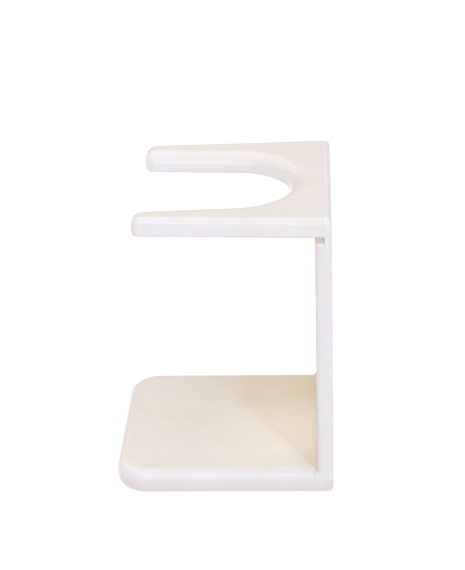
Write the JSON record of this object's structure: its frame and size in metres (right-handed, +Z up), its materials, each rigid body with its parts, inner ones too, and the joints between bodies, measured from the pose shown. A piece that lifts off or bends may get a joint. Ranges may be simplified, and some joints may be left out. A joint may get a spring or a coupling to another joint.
{
  "type": "shaving brush stand",
  "caption": "Small free-standing stand: a rounded base plate, a back upright and a forked top plate whose open slot hangs a brush or slim handheld tool by its collar.",
  "frame": {"origin": "on the supporting surface, under the middle of the stand's outline", "axes": "+Z up, -Y towards the open mouth of the fork, +Y towards the back of the upright, X across the width"},
  "size_m": [0.06, 0.068, 0.094],
  "materials": {
    "base_resin": "polished warm ivory cast resin with rounded, buffed edges",
    "upright_resin": "polished ivory cast resin",
    "fork_resin": "polished ivory cast resin with rounded, buffed edges",
    "cured_glue": "cured amber adhesive, glossy where it squeezed out"
  },
  "bodies": {
    "root": {"base_plate": "base_resin", "back_upright": "upright_resin", "fork_plate": "fork_resin", "base_joint_glue": "cured_glue", "fork_joint_glue": "cured_glue"}
  },
  "joints": []
}
